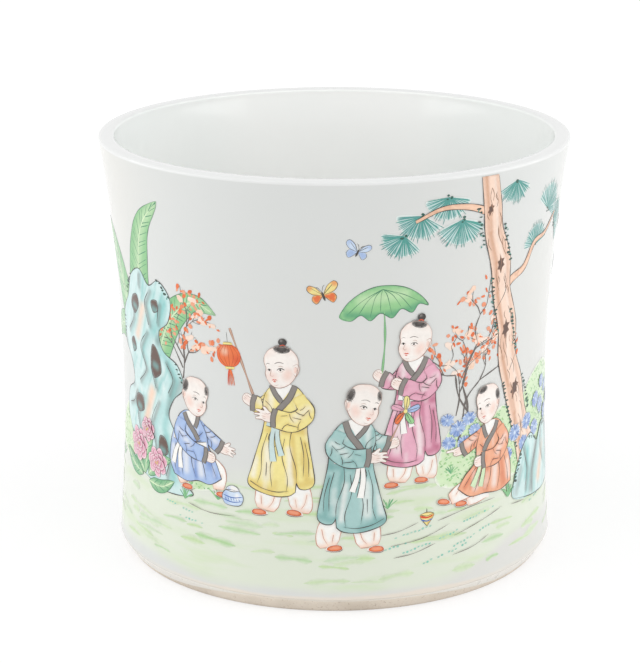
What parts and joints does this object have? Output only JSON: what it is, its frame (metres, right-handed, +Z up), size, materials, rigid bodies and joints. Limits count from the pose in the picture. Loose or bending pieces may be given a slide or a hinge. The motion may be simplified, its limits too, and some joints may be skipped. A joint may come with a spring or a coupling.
{
  "type": "brush pot",
  "caption": "Wide waisted cylindrical porcelain brush pot with a flared rounded lip, a deep open well and a bare bevelled foot ring.",
  "frame": {"origin": "centre of the standing face of the foot ring, on the pot's axis", "axes": "+Z up along the pot's axis of revolution, -Y towards the side that the picture shows, +X to the right of it"},
  "size_m": [0.18, 0.18, 0.164],
  "materials": {
    "porcelain": "fired porcelain clay under the glaze",
    "biscuit": "bare fired clay, fine and matt, slightly warmed by the kiln",
    "outer_glaze": "glossy white glaze that carries the painted overglaze enamels",
    "inner_glaze": "glossy plain white glaze with a faint cool tint"
  },
  "bodies": {
    "root": {"wall": "porcelain", "base_slab": "porcelain", "foot_ring": "biscuit", "outer_glaze": "outer_glaze", "inner_glaze": "inner_glaze", "base_glaze": "inner_glaze"}
  },
  "joints": []
}
